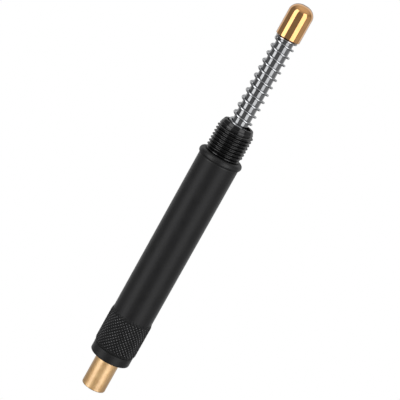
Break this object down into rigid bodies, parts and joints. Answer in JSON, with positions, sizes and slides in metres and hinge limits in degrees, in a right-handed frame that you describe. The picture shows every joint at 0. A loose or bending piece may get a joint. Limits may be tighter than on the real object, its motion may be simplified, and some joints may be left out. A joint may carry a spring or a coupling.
{
  "type": "desoldering pump",
  "caption": "Slim metal push pump for sucking up molten solder: brass nozzle, knurled black barrel, threaded neck, steel plunger rod in an open return spring, domed brass knob.",
  "frame": {"origin": "centre of the nozzle's end face", "axes": "+Z along the pump's axis, from the nozzle to the knob"},
  "size_m": [0.0194, 0.0194, 0.1849],
  "materials": {
    "black_anodised": "matte black anodised",
    "satin_brass": "satin turned brass",
    "polished_brass": "polished brass",
    "bright_steel": "polished steel",
    "zinc_steel": "zinc plated",
    "spring_steel": "blued spring steel",
    "plain_aluminium": "plain turned aluminium",
    "bronze": "sintered bronze",
    "black_rubber": "matte black rubber",
    "white_ptfe": "matte white PTFE"
  },
  "bodies": {
    "barrel": {"barrel_tube": "black_anodised", "threaded_neck": "black_anodised", "neck_o_ring": "black_rubber", "rod_guide_bush": "bronze", "bush_retaining_ring": "spring_steel", "stop_bumper": "black_rubber", "spring_seat_washer": "zinc_steel", "return_spring": "bright_steel"},
    "front_seal": {"collar_o_ring": "black_rubber"},
    "front_end": {"front_collar": "black_anodised", "nozzle_sleeve": "satin_brass", "nozzle_tube": "white_ptfe", "nozzle_o_ring": "black_rubber", "nozzle_lock_nut": "zinc_steel", "landing_bumper": "black_rubber"},
    "piston_seals": {"piston_o_ring_lower": "black_rubber", "piston_o_ring_upper": "black_rubber"},
    "plunger": {"plunger_rod": "bright_steel", "plunger_knob": "polished_brass", "stop_clip": "spring_steel", "piston_body": "plain_aluminium", "piston_back_washer": "zinc_steel", "piston_front_washer": "zinc_steel", "piston_nut": "zinc_steel", "cleaning_pin": "bright_steel"}
  },
  "joints": [
    {"name": "plunger_slide", "type": "slide", "parent": "barrel", "child": "piston_seals", "axis": [0, 0, -1], "range_m": [0, 0.034], "stiffness_N_per_m": 350, "springref_m": -0.012, "deforming": ["return_spring"]},
    {"name": "plunger_turn", "type": "hinge", "parent": "piston_seals", "child": "plunger", "pos_m": [0, 0, 0.0662], "axis": [0, 0, 1], "continuous": true},
    {"name": "front_travel", "type": "slide", "parent": "barrel", "child": "front_seal", "axis": [0, 0, -1], "range_m": [0, 0.0045]},
    {"name": "front_turn", "type": "hinge", "parent": "front_seal", "child": "front_end", "pos_m": [0, 0, 0.0151], "axis": [0, 0, -1], "range_deg": [0, 1081]}
  ],
  "couplings": [
    {"joint": "front_turn", "follows": "front_travel", "rad_per_m": 4188.8}
  ]
}
